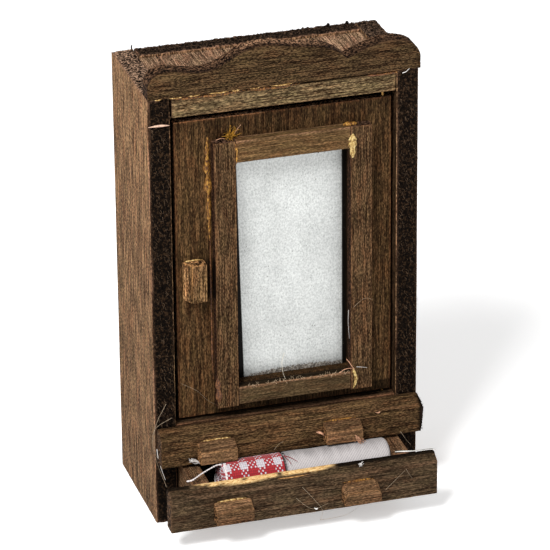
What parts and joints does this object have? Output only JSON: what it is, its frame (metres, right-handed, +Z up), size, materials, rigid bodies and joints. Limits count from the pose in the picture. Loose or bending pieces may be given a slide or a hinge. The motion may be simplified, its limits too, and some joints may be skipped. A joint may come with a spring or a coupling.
{
  "type": "miniature wardrobe",
  "caption": "Free-standing miniature wardrobe for a dolls' house, with a mirrored hinged door, a fretted cornice and drawers that slide, one holding rolled cloth.",
  "frame": {"origin": "middle of the carcass's footprint, on the ground", "axes": "+X to the right seen from the front, +Y to the back, +Z up"},
  "size_m": [0.0575, 0.0445, 0.1045],
  "materials": {
    "carcass_wood": "brown stained hardwood with fine upright grain, dark fuzzy sawn edges",
    "top_wood": "pale pinkish wood with cracks along the grain",
    "cornice_wood": "dark olive brown wood with level grain, near-black sawn edge",
    "door_wood": "warm olive brown stained wood",
    "drawer_wood": "dark brown stained wood with level grain",
    "grip_wood": "lighter amber brown wood",
    "mirror_glass": "silvered, slightly mottled mirror",
    "pin_brass": "plain brass wire pin",
    "gingham_cloth": "red and white gingham cotton",
    "white_cloth": "plain white cotton",
    "white_thread": "white sewing thread"
  },
  "bodies": {
    "carcass": {"side_left": "carcass_wood", "side_right": "carcass_wood", "back_panel": "carcass_wood", "top_panel": "top_wood", "cornice": "cornice_wood", "frieze_rail": "cornice_wood", "compartment_floor": "carcass_wood", "drawer_divider": "carcass_wood", "base_board": "carcass_wood"},
    "door": {"door_board": "door_wood", "frame_stile_left": "door_wood", "frame_stile_right": "door_wood", "frame_rail_top": "door_wood", "frame_rail_bottom": "door_wood", "mirror": "mirror_glass", "door_knob": "grip_wood", "hinge_pin_upper": "pin_brass", "hinge_pin_lower": "pin_brass"},
    "upper_drawer": {"upper_drawer_front": "drawer_wood", "upper_drawer_side_left": "drawer_wood", "upper_drawer_side_right": "drawer_wood", "upper_drawer_back": "drawer_wood", "upper_drawer_bottom": "drawer_wood", "upper_drawer_handle_left": "grip_wood", "upper_drawer_handle_right": "grip_wood"},
    "lower_drawer": {"lower_drawer_front": "drawer_wood", "lower_drawer_side_left": "drawer_wood", "lower_drawer_side_right": "drawer_wood", "lower_drawer_back": "drawer_wood", "lower_drawer_bottom": "drawer_wood", "lower_drawer_handle_left": "grip_wood", "lower_drawer_handle_right": "grip_wood", "gingham_roll": "gingham_cloth", "white_roll": "white_cloth", "tie_thread": "white_thread"}
  },
  "joints": [
    {"name": "door_hinge", "type": "hinge", "parent": "carcass", "child": "door", "pos_m": [0.0216, -0.01145, 0.056], "axis": [0, 0, 1], "range_deg": [0, 95]},
    {"name": "upper_drawer_slide", "type": "slide", "parent": "carcass", "child": "upper_drawer", "axis": [0, -1, 0], "range_m": [0, 0.016]},
    {"name": "lower_drawer_slide", "type": "slide", "parent": "carcass", "child": "lower_drawer", "axis": [0, -1, 0], "range_m": [-0.0103, 0.0057]}
  ]
}
